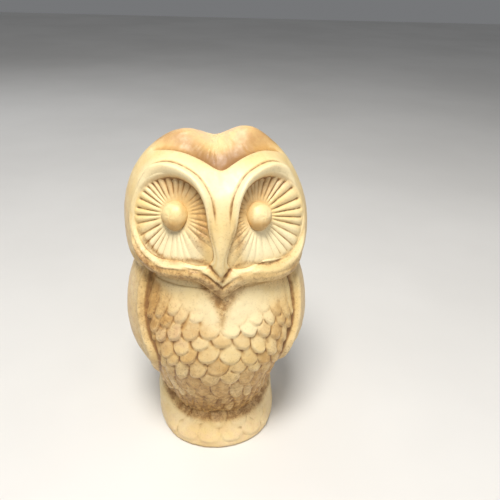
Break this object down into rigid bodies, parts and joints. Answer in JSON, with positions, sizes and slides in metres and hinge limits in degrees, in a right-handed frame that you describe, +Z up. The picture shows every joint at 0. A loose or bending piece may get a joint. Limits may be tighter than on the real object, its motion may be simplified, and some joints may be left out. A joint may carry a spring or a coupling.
{
  "type": "owl figurine",
  "caption": "Hollow fired-clay owl standing on a round foot, with fluted eye discs, a feathered breast and folded side wings.",
  "frame": {"origin": "centre of the round resting face under the foot", "axes": "+Z up along the owl's height, -Y out of its face, +X towards its own left wing"},
  "size_m": [0.1134, 0.1003, 0.2023],
  "materials": {
    "cream_clay": "satin cream-yellow stain with a brown wash in the hollows",
    "eye_clay": "satin pale yellow stain with brown flutes",
    "felt": "short brown felt"
  },
  "bodies": {
    "root": {"head_shell": "cream_clay", "torso_shell": "cream_clay", "feathered_breast": "cream_clay", "foot_base": "cream_clay", "beak": "cream_clay", "left_eye_disc": "eye_clay", "right_eye_disc": "eye_clay", "left_pupil": "eye_clay", "right_pupil": "eye_clay", "left_brow": "cream_clay", "right_brow": "cream_clay", "left_ruff": "cream_clay", "right_ruff": "cream_clay", "left_wing": "cream_clay", "right_wing": "cream_clay", "felt_pad": "felt"}
  },
  "joints": []
}
